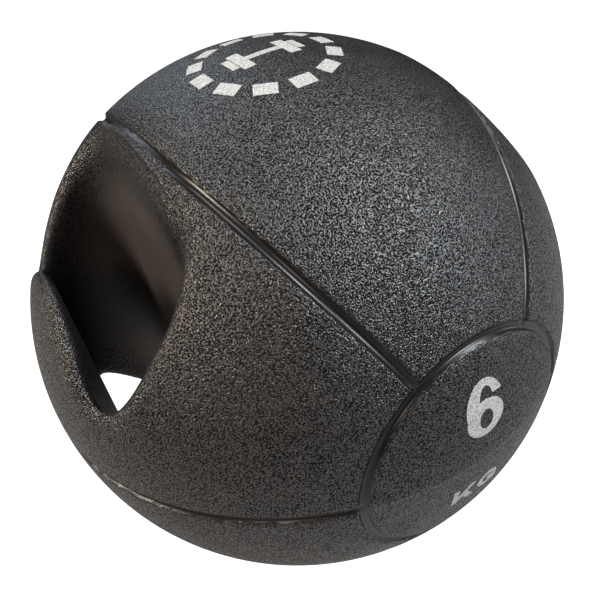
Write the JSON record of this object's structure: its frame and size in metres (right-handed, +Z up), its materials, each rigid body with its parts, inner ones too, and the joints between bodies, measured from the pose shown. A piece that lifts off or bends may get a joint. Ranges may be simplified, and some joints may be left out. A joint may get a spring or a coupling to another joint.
{
  "type": "medicine ball",
  "caption": "Round rubber exercise weight with a hand grip moulded through each side, pebbled cover panels in grooved seams, two round end caps and an air-filled core.",
  "frame": {"origin": "centre of the ball", "axes": "+Z points up to the panel with the emblem, and both grip tunnels lean 10.5 degrees from it towards the front cap at the top; +Y points out through the centre of the rear cap, where the inflation valve is; the cap with the weight mark faces -Y; the handles are at -X and +X"},
  "size_m": [0.28, 0.2799, 0.2802],
  "materials": {
    "cover": "satin",
    "grip_cover": "satin",
    "core": "satin",
    "bladder": "matte",
    "valve": "satin",
    "seal": "matte",
    "print": "matte"
  },
  "bodies": {
    "root": {"cap_front": "cover", "cap_rear": "cover", "panel_top": "cover", "panel_bottom": "cover", "grip_panel_left_upper": "grip_cover", "grip_panel_left_lower": "grip_cover", "grip_panel_right_upper": "grip_cover", "grip_panel_right_lower": "grip_cover", "core_upper": "core", "core_lower": "core", "grip_block_left": "core", "grip_block_right": "core", "bladder": "bladder", "valve_body": "valve", "valve_seal": "seal", "weight_numeral": "print", "weight_unit": "print", "emblem_ring": "print", "emblem_centre": "print"}
  },
  "joints": []
}
